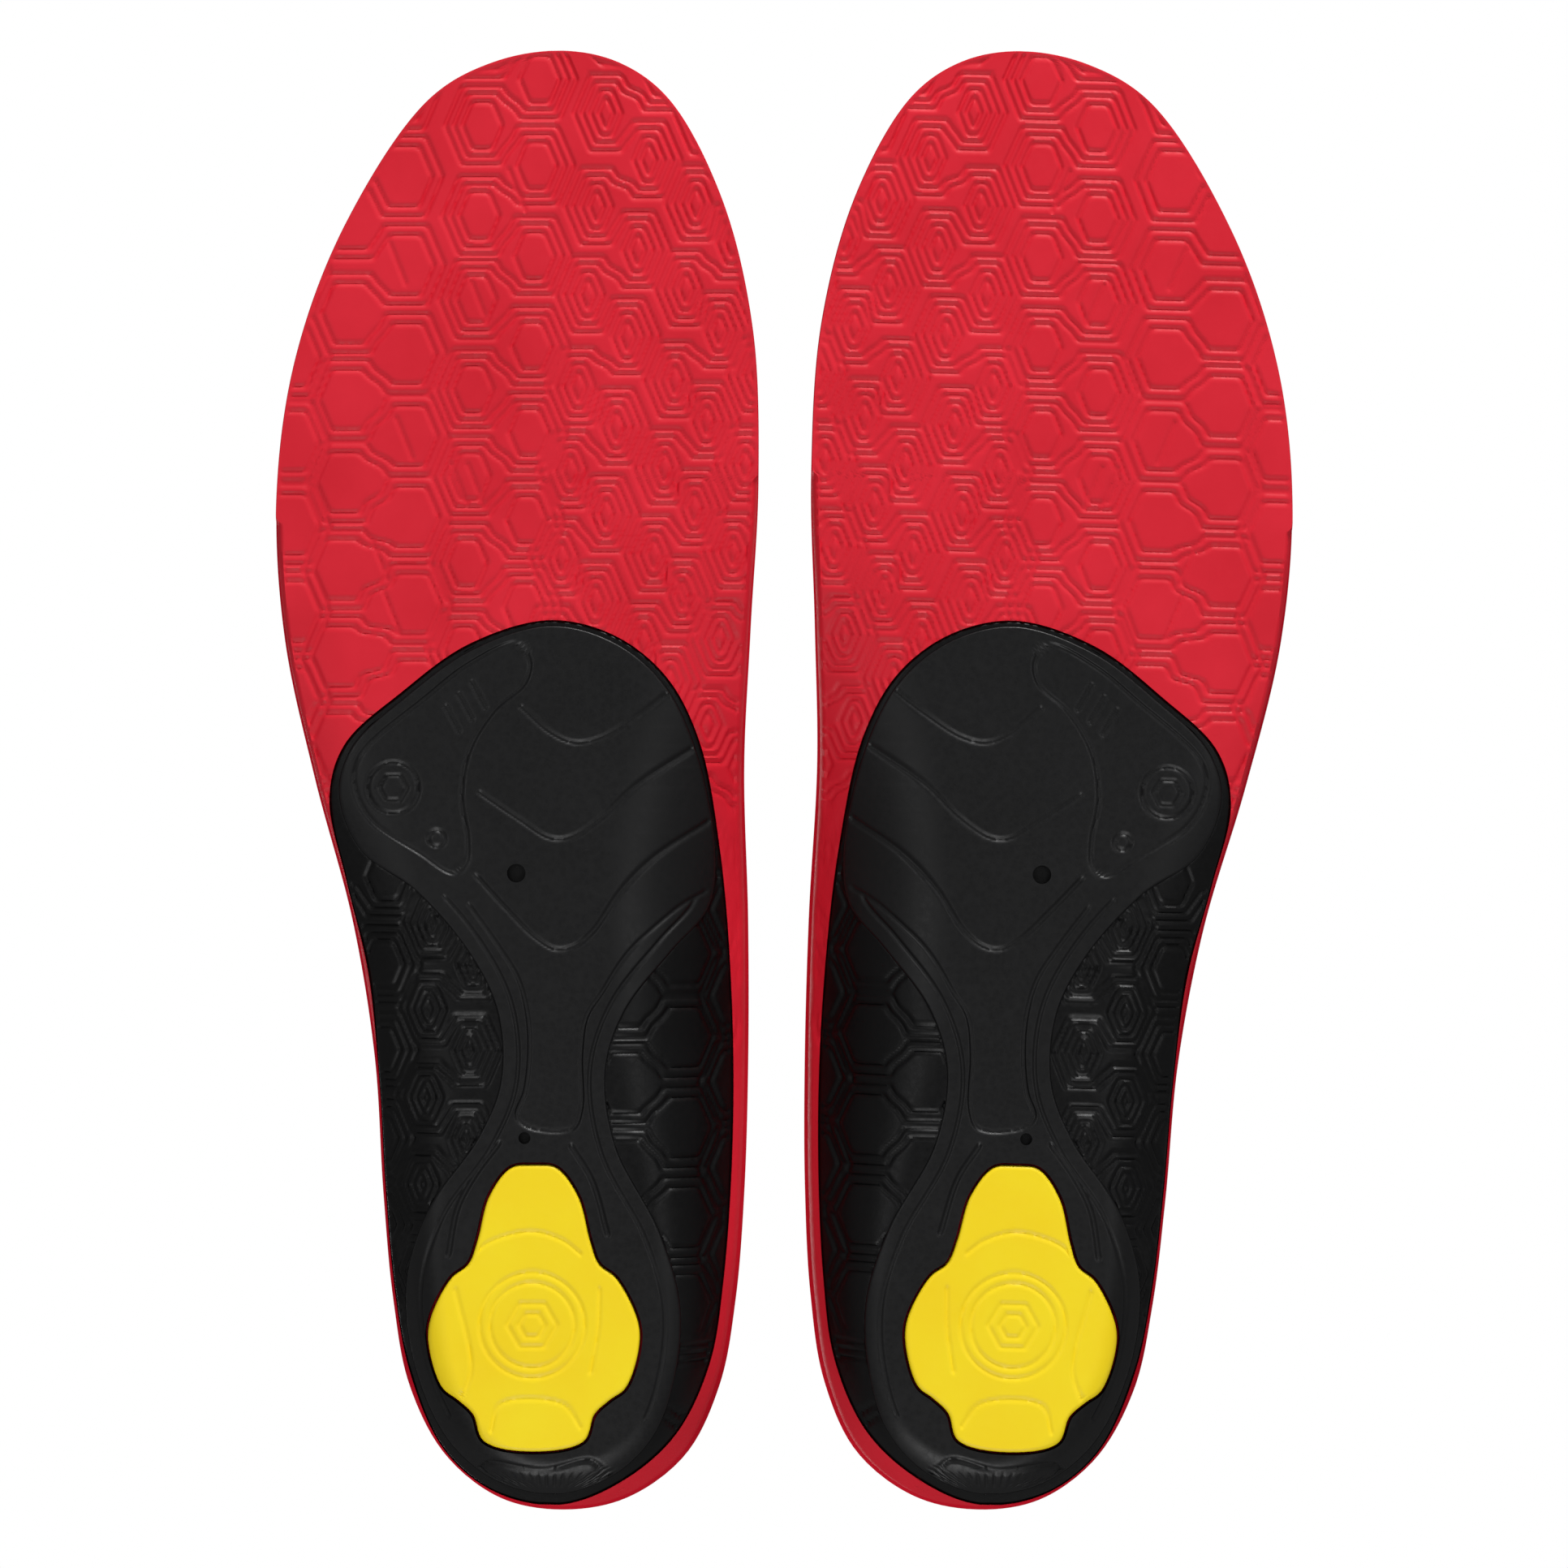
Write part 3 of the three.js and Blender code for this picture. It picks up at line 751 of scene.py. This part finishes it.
class Finish:
    """A material under construction."""

    def __init__(self, name, **fixed):
        self.material = bpy.data.materials.new(name)
        self.material.use_nodes = True
        self.nodes, self.links = self.material.node_tree.nodes, self.material.node_tree.links
        self.surface = self.nodes["Principled BSDF"]
        for key, value in fixed.items():
            self.surface.inputs[key.replace("_", " ")].default_value = value

    def group(self, tree, **values):
        made = self.nodes.new("ShaderNodeGroup")
        made.node_tree = tree
        for key, value in values.items():
            made.inputs[key].default_value = value
        return made

    def ramp(self, factor, *stops):
        made = self.nodes.new("ShaderNodeValToRGB")
        ends = made.color_ramp.elements
        while len(ends) < len(stops):
            ends.new(0.5)
        for element, (place, colour) in zip(ends, stops):
            element.position = place
            element.color = colour
        self.links.new(factor, made.inputs["Fac"])
        return made.outputs["Color"]

    def range(self, factor, low, high, start=0.3, end=0.7):
        made = self.nodes.new("ShaderNodeMapRange")
        for key, value in zip((1, 2, 3, 4), (start, end, low, high)):
            made.inputs[key].default_value = value
        self.links.new(factor, made.inputs["Value"])
        return made.outputs["Result"]

    def bump(self, height, strength, distance):
        made = self.nodes.new("ShaderNodeBump")
        made.inputs["Strength"].default_value = strength
        made.inputs["Distance"].default_value = distance
        self.links.new(height, made.inputs["Height"])
        self.links.new(made.outputs["Normal"], self.surface.inputs["Normal"])

    def colour(self, socket):
        self.links.new(socket, self.surface.inputs["Base Color"])

    def roughness(self, socket):
        self.links.new(socket, self.surface.inputs["Roughness"])

    def matt_edge(self, shine):
        """Full shine face on, and none where the surface is seen along itself."""
        edge = self.nodes.new("ShaderNodeLayerWeight")
        facing = self.range(edge.outputs["Facing"], shine, 0, 0.35, 0.75)
        self.links.new(facing, self.surface.inputs["Specular IOR Level"])


def moulded(name, dark, light, rough, strength, specular=0.5, fine=2600.0):
    """Moulded foam or plastic: one colour with a slow drift, and a fine skin."""
    finish = Finish(name)
    finish.matt_edge(specular)
    grain = finish.group(GRAIN, Fine=fine)
    finish.colour(finish.ramp(grain.outputs["Shade"], (0.3, dark), (0.7, light)))
    finish.roughness(finish.range(grain.outputs["Height"], rough - 0.05, rough + 0.07))
    finish.bump(grain.outputs["Height"], strength, 0.0002)
    return finish.material


def cover_fabric():
    finish = Finish("cover fabric", Sheen_Weight=0.35, Sheen_Roughness=0.5, Specular_IOR_Level=0.25)
    knit = finish.group(KNIT)
    finish.colour(finish.ramp(knit.outputs["Shade"], (0.35, (0.012, 0.0125, 0.014, 1)),
                              (0.68, (0.05, 0.052, 0.057, 1))))
    finish.roughness(finish.range(knit.outputs["Height"], 0.95, 0.8))
    finish.bump(knit.outputs["Height"], 0.5, 0.0003)
    return finish.material


RED_FOAM = moulded("red foam", (0.62, 0.008, 0.022, 1), (0.71, 0.014, 0.032, 1), 0.5, 0.12,
                   specular=0.25)
BLACK_FOAM = moulded("black foam", (0.001, 0.001, 0.0011, 1), (0.002, 0.002, 0.0022, 1), 0.38, 0.1,
                     specular=0.22)
BLACK_PLATE = moulded("black plate", (0.0025, 0.0025, 0.0027, 1), (0.0045, 0.0045, 0.0048, 1), 0.4,
                      0.08, specular=0.3)
YELLOW_PAD = moulded("yellow pad", (0.98, 0.7, 0.008, 1), (1.0, 0.78, 0.012, 1), 0.42, 0.08,
                     specular=0.3)
CUSHION_FOAM = moulded("cushion foam", (0.36, 0.35, 0.32, 1), (0.46, 0.45, 0.42, 1), 0.85, 0.5,
                       fine=1500.0)
COVER_FABRIC = cover_fabric()


# ---- The pieces, for the right foot ------------------------------------------------------------

TRIM_LINE = (56, 48)  # the place along y where the cut edge starts, inner and outer
CUT_EDGE, MOULDED_EDGE = 0.2, 1.2  # how far the wall leans in at its foot, and how much more behind
BED_CLEARANCE = 0.15


def foam_base():
    """The red foam: grooved below, with a cut edge ahead of the trim line and a moulded side
    wall behind it."""
    ys = levels(SOLE, [(-140, -4, 1.5), (-4, 140, 0.43)])

    def wall(y, side, share=1.0):
        behind = 1 / (1 + np.exp((y - TRIM_LINE[side]) / 0.25))
        return share * (CUT_EDGE + MOULDED_EDGE * behind)

    def under(x, y):
        return cup(x, y)

    def top(x, y):
        return cup(x, y) + FOAM_TOP + thickening(y)

    rings = [(0, wall), (0.12, lambda y, side: wall(y, side, 0.6)),
             (0.4, lambda y, side: wall(y, side, 0.25)), (0.7, 0.05), (0.95, 0.15), (1, 0.4)]

    def off_edge(x, y):
        return np.clip((depth_inside(SOLE, x, y) - 0.5) / 0.6, 0, 1)

    mesh = shell("foam base", SOLE, ys, (212, 20), under, top, rings, off_edge)
    steps = hexagon_steps("forefoot cells", RED_FOAM, FOREFOOT_PAIRS, 80, -70, 145)
    steps.append(lines_step("slashes", slashes(), 0.35, 0.6, RED_FOAM))
    bed = cutter_object("cradle bed", CRADLE, BED_CLEARANCE, CRADLE_TOP + GAP)
    pocket = cutter_object("pad pocket", PAD, PAD_CLEARANCE, PAD_TOP + GAP)
    return evaluated(mesh, *steps, node_step(PRESS, material=RED_FOAM), cutter_step(bed),
                     cutter_step(pocket))


def arch_cradle():
    ys = levels(CRADLE, [(-140, -110, 0.6), (-110, -8, 0.46), (-8, 40, 1.2)])

    def under(x, y):
        over_plate = np.clip(depth_inside(PLATE, x, y) / 0.7 - 0.3, 0, 1)
        return cup(x, y) + CRADLE_UNDER + (PLATE_TOP + GAP - CRADLE_UNDER) * over_plate

    def top(x, y):
        return cup(x, y) + CRADLE_TOP

    def flank(x, y):
        return depth_inside(PLATE, x, y) < 0

    def patterned(x, y):
        return np.clip((y + 103) / 5, 0, 1)

    rings = [(0, 0.35), (0.06, 0.12), (0.2, 0.0), (0.8, 0.0), (1, 0.2)]
    mesh = shell("arch cradle", CRADLE, ys, (210, 16), under, top, rings, flank, patterned)
    steps = hexagon_steps("flank cells", BLACK_FOAM, FLANK_PAIRS, -50, -112, -10)
    ridges = lines_step("heel ridges", HEEL_RIDGES, 0.5, 0.9, BLACK_FOAM)
    window = prism_object("cradle window", grown(PAD_LOOP, PAD_CLEARANCE))
    return evaluated(mesh, *steps, ridges, node_step(PRESS, material=BLACK_FOAM),
                     cutter_step(window))


def inside_loop(loop, x, y):
    """How far each point is inside a closed loop; below zero outside it."""
    far, _ = nearest(np.vstack([loop, loop[:1]]), x, y)
    odd = np.zeros(x.shape, bool)
    for (ax, ay), (bx, by) in zip(loop, np.roll(loop, -1, 0)):
        if ay != by:
            odd ^= ((ay > y) != (by > y)) & (x < ax + (y - ay) * (bx - ax) / (by - ay))
    return np.where(odd, far, -far)


def edge_line(outline, side, inset, low, high):
    ys = np.arange(low, high, 1.0)
    return outline.edge(side, ys, inset)


def circle(x, y, radius, start=0, end=360):
    angles = np.radians(np.linspace(start, end, 48))
    return np.stack([x + radius * np.cos(angles), y + radius * np.sin(angles)], 1)


def hexagon(x, y, radius):
    angles = np.radians(np.arange(0, 361, 60))
    return np.stack([x + radius * np.cos(angles), y + radius * np.sin(angles)], 1)


EDGE_LINE_INSET = 2.9
WING_BADGE, WING_RING = (72.2, -0.9), (64.2, -10.2)
WAIST_SUNK, WING_SUNK = 0.3, 0.22


def support_plate():
    ys = levels(PLATE, [(-140, 40, 0.37)])
    waist = catmull(WAIST_PANEL, True, 6)
    wing = catmull(WING_WINDOW, True, 6)

    def under(x, y):
        sunk = WAIST_SUNK * np.clip(inside_loop(waist, x, y) / 0.6 + 0.5, 0, 1)
        sunk *= np.clip((-36 - y) / 8, 0, 1)
        in_wing = WING_SUNK * np.clip(inside_loop(wing, x, y) / 0.6 + 0.5, 0, 1)
        return cup(x, y) + np.maximum(sunk, in_wing)

    def top(x, y):
        return cup(x, y) + PLATE_TOP

    rings = [(0, 0.3), (0.1, 0.08), (0.3, 0.0), (1, 0.0)]
    mesh = shell("support plate", PLATE, ys, (192, 16), under, top, rings)
    flex = [curve_line(line) for line in FLEX_LINES]
    borders = [edge_line(PLATE, side, EDGE_LINE_INSET, -118, -22) for side in (0, 1)]
    borders += [curve_line(WAIST_PANEL), curve_line(WING_WINDOW, True)]
    marks = [circle(*WING_BADGE, 4.7), hexagon(*WING_BADGE, 2.6)]
    marks += [[(62.6 - 2.4 * i, 14.2 + 2.2 * i), (60.0 - 2.4 * i, 9.4 + 2.2 * i)] for i in range(3)]
    marks += [circle(*WING_RING, 1.5)]
    ribs = [[(56 - 1.5 * i, -127.6), (55.6 - 1.45 * i, -129.4)] for i in range(16)]
    steps = []
    for name, lines, depth, width in (("flex", flex, 0.4, 0.75), ("borders", borders, 0.3, 0.6),
                                      ("marks", marks, 0.38, 0.6), ("ribs", ribs, 0.18, 0.45)):
        steps.append(lines_step(name, lines, depth, width, BLACK_PLATE))
    steps.append(node_step(PRESS, material=BLACK_PLATE))
    window = prism_object("pad window", grown(PAD_LOOP, PAD_CLEARANCE))
    holes = [prism_object("hole", circle(*place, radius)[:-1]) for place, radius in HOLES]
    return evaluated(mesh, *steps, cutter_step(window), *[cutter_step(h) for h in holes])


PAD_BADGE = (46.6, -99.7)


def heel_pad():
    ys = levels(PAD, [(-140, 0, 0.4)], end=1.0, end_rows=8)

    def under(x, y):
        return cup(x, y)

    def top(x, y):
        return cup(x, y) + PAD_TOP

    rings = [(0, 0.7), (0.02, 0.35), (0.06, 0.1), (0.14, 0.0), (1, 0.0)]
    mesh = shell("heel pad", PAD, ys, (110, 8), under, top, rings)
    lines = [circle(*PAD_BADGE, radius) for radius in (9.7, 7.8)]
    lines += [hexagon(*PAD_BADGE, radius) for radius in (4.6, 2.4)]
    lines += [curve_line(line) for line in PAD_LINES]
    step = lines_step("pad lines", lines, 0.3, 0.6, YELLOW_PAD)
    return evaluated(mesh, step, node_step(PRESS, material=YELLOW_PAD))


def layer(name, bottom, thickness, rings, material):
    """A plain sheet of the stack, with its edge rounded over."""
    ys = levels(SOLE, [(-140, 140, 1.6)])

    def under(x, y):
        return cup(x, y) + bottom + thickening(y)

    def top(x, y):
        return cup(x, y) + bottom + thickness + thickening(y)

    mesh = shell(name, SOLE, ys, (40, 90), under, top, rings)
    return evaluated(mesh, node_step(PRESS, material=material))


def cushion_layer():
    bottom = FOAM_TOP + GAP
    return layer("cushion layer", bottom, CUSHION, [(0, 0.3), (0.3, 0.2), (0.7, 0.3), (1, 0.5)],
                 CUSHION_FOAM)


def top_cover():
    bottom = FOAM_TOP + CUSHION + 2 * GAP
    return layer("top cover", bottom, COVER, [(0, 0.4), (0.4, 0.4), (0.8, 0.6), (1, 1.0)],
                 COVER_FABRIC)


# ---- Places of the two insoles -----------------------------------------------------------------

def placed(turn, node):
    """The matrix that turns the drawn insole and centres its outline on that node's box."""
    low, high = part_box(node)
    loop = np.array([(turn @ Vector((x * MM, y * MM, 0)))[:2] for x, y in SOLE.loop])
    middle = (loop.min(0) + loop.max(0)) / 2
    shift = Vector(((low.x + high.x) / 2 - middle[0], (low.y + high.y) / 2 - middle[1], 0))
    return Matrix.Translation(shift) @ turn


MIRRORED = Matrix.Rotation(TOE_OUT, 4, "Z") @ Matrix.Scale(-1, 4, (1, 0, 0))
PLACES = {
    "right": placed(Matrix.Identity(4), "right_foam_base"),
    "left": placed(MIRRORED, "left_foam_base"),
}


def put(mesh, side, node, smooth=50):
    """One finished piece: it stands for its CAD node and rides on its insole."""
    own = mesh.copy()
    own.transform(PLACES[side])
    if side == "left":
        own.flip_normals()
    for name in ("relief", "patterned", "sunk", "near_first", "near_second", "level_first",
                 "level_second"):
        if name in own.attributes:
            own.attributes.remove(own.attributes[name])
    own.shade_smooth()
    own.set_sharp_from_angle(angle=math.radians(smooth))
    piece = bpy.data.objects.new(side + "_" + node + "_finish", own)
    bpy.context.scene.collection.objects.link(piece)
    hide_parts(side + "_" + node)
    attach(piece, side + "_insole")
    return piece


SLOTS = {
    "foam_base": (foam_base, "red_foam"),
    "arch_cradle": (arch_cradle, "black_foam"),
    "support_plate": (support_plate, "black_plate"),
    "heel_pad": (heel_pad, "yellow_pad"),
    "cushion_layer": (cushion_layer, "cushion_foam"),
    "top_cover": (top_cover, "cover_fabric"),
}


# ---- Camera, lights and floor ------------------------------------------------------------------

def floor_material():
    """Pale and lit near the insoles, white like the background further out, clear from below."""
    material = bpy.data.materials.new("floor")
    material.use_nodes = True
    nodes, links = material.node_tree.nodes, material.node_tree.links
    lit = nodes["Principled BSDF"]
    lit.inputs["Base Color"].default_value = (0.8, 0.8, 0.8, 1)
    lit.inputs["Roughness"].default_value = 0.8
    white = nodes.new("ShaderNodeEmission")
    clear = nodes.new("ShaderNodeBsdfTransparent")
    place = nodes.new("ShaderNodeTexCoord")
    far = nodes.new("ShaderNodeVectorMath")
    far.operation = "LENGTH"
    fade = nodes.new("ShaderNodeMapRange")
    fade.interpolation_type = "SMOOTHSTEP"
    fade.inputs["From Min"].default_value = 0.2
    fade.inputs["From Max"].default_value = 0.5
    out = nodes.new("ShaderNodeMixShader")
    below = nodes.new("ShaderNodeMixShader")
    side = nodes.new("ShaderNodeNewGeometry")
    links.new(place.outputs["Object"], far.inputs[0])
    links.new(far.outputs["Value"], fade.inputs["Value"])
    links.new(fade.outputs["Result"], out.inputs["Fac"])
    links.new(lit.outputs["BSDF"], out.inputs[1])
    links.new(white.outputs["Emission"], out.inputs[2])
    links.new(side.outputs["Backfacing"], below.inputs["Fac"])
    links.new(out.outputs["Shader"], below.inputs[1])
    links.new(clear.outputs["BSDF"], below.inputs[2])
    links.new(below.outputs["Shader"], nodes["Material Output"].inputs["Surface"])
    return material


CAMERA_BELOW = 1.3
VIEW_WIDTH = 0.2883
SENSOR = 36
FLOOR_BELOW = 0.0004
FLOOR_HALF = 6


def studio():
    scene = bpy.context.scene
    camera = bpy.data.objects.new("camera", bpy.data.cameras.new("camera"))
    scene.collection.objects.link(camera)
    camera.location = (0, 0, -CAMERA_BELOW)
    camera.rotation_euler = (0, math.pi, 0)
    camera.data.sensor_width = SENSOR
    camera.data.lens = SENSOR * CAMERA_BELOW / VIEW_WIDTH
    camera.data.clip_end = 20
    scene.camera = camera

    def area(name, place, size, power, aim=(0, 0, 0)):
        light = bpy.data.lights.new(name, "AREA")
        light.size = size
        light.energy = power
        made = bpy.data.objects.new(name, light)
        scene.collection.objects.link(made)
        made.location = place
        made.rotation_euler = (Vector(aim) - Vector(place)).to_track_quat("-Z", "Y").to_euler()
        made.visible_camera = False
        return made

    area("toe light below", (-0.25, 0.95, -0.36), 0.3, 10)
    area("heel light below", (0.1, -0.8, -0.7), 0.5, 4.2)
    area("inner sheen below", (-0.5, 0.1, -0.9), 0.3, 0.8)
    area("outer sheen below", (0.5, 0.1, -0.9), 0.3, 0.8)
    area("key above", (0.25, -0.2, 1.1), 0.7, 14)
    area("fill above", (-0.3, 0.4, 1.0), 0.8, 6)

    mesh = bpy.data.meshes.new("floor")
    s = FLOOR_HALF
    mesh.from_pydata([(-s, -s, 0), (s, -s, 0), (s, s, 0), (-s, s, 0)], [], [(0, 1, 2, 3)])
    floor = bpy.data.objects.new("floor", mesh)
    floor.location.z = -FLOOR_BELOW
    scene.collection.objects.link(floor)
    mesh.materials.append(floor_material())
    for flag in ("visible_diffuse", "visible_glossy", "visible_transmission", "visible_shadow"):
        setattr(floor, flag, False)

    world = bpy.data.worlds.new("studio")
    world.use_nodes = True
    scene.world = world
    nodes, links = world.node_tree.nodes, world.node_tree.links
    soft = nodes["Background"]
    soft.inputs["Color"].default_value = (1, 1, 1, 1)
    soft.inputs["Strength"].default_value = 0.25
    white = nodes.new("ShaderNodeBackground")
    white.inputs["Color"].default_value = (1, 1, 1, 1)
    white.inputs["Strength"].default_value = 1.0
    path = nodes.new("ShaderNodeLightPath")
    mix = nodes.new("ShaderNodeMixShader")
    links.new(path.outputs["Is Camera Ray"], mix.inputs["Fac"])
    links.new(soft.outputs["Background"], mix.inputs[1])
    links.new(white.outputs["Background"], mix.inputs[2])
    links.new(mix.outputs["Shader"], nodes["World Output"].inputs["Surface"])
    scene.view_settings.view_transform = "Standard"
    scene.view_settings.look = "None"


studio()
for node, (build, slot_name) in SLOTS.items():
    drawn = build()
    for side in ("right", "left"):
        put(drawn, side, node)
for made in helpers:
    bpy.data.objects.remove(made)
